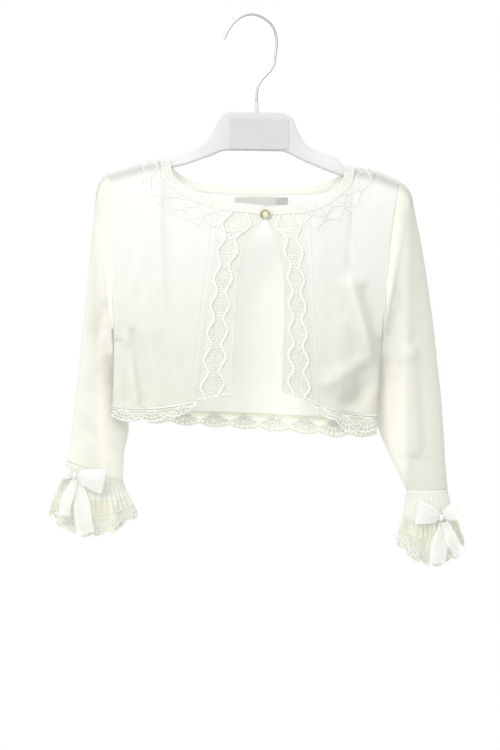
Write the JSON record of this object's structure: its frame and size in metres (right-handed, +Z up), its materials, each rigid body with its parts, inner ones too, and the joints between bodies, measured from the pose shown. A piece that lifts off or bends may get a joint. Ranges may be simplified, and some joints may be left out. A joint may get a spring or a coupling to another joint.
{
  "type": "cardigan on hanger",
  "caption": "Child's cropped knit cardigan with lace front borders, lace hem, flared cuff frills, ribbon bows and a pearl button, hung flat on a frosted hanger with a wire hook.",
  "frame": {"origin": "the point under the crown of the hanger's hook, where a rail or peg carries it", "axes": "+Z up, -Y the front of the garment, +X to the viewer's right"},
  "size_m": [0.4592, 0.071, 0.607],
  "materials": {
    "knit": "fine soft ivory knit, matt",
    "lace": "open knitted and crocheted lace, matt",
    "ribbon": "sheer white ribbon, faint sheen",
    "pearl": "glossy pearl, beige rim",
    "label": "pale grey woven satin",
    "frosted": "frosted translucent",
    "steel": "bright plated wire"
  },
  "bodies": {
    "root": {"back": "knit", "border_left_view": "lace", "border_right_view": "lace", "bow_knot_left": "ribbon", "bow_knot_right": "ribbon", "bow_loop_left_1": "ribbon", "bow_loop_left_2": "ribbon", "bow_loop_right_1": "ribbon", "bow_loop_right_2": "ribbon", "bow_tail_left_1": "ribbon", "bow_tail_left_2": "ribbon", "bow_tail_right_1": "ribbon", "bow_tail_right_2": "ribbon", "button": "pearl", "button_loop": "lace", "frill_left_view": "lace", "frill_right_view": "lace", "front_left_view": "knit", "front_right_view": "knit", "hanger_body": "frosted", "hanger_collar": "frosted", "hanger_hook": "steel", "hem_lace_back": "lace", "hem_lace_left_view": "lace", "hem_lace_right_view": "lace", "label": "label", "neck_edging": "lace", "size_tab": "label", "sleeve_left_view": "knit", "sleeve_right_view": "knit"}
  },
  "joints": []
}
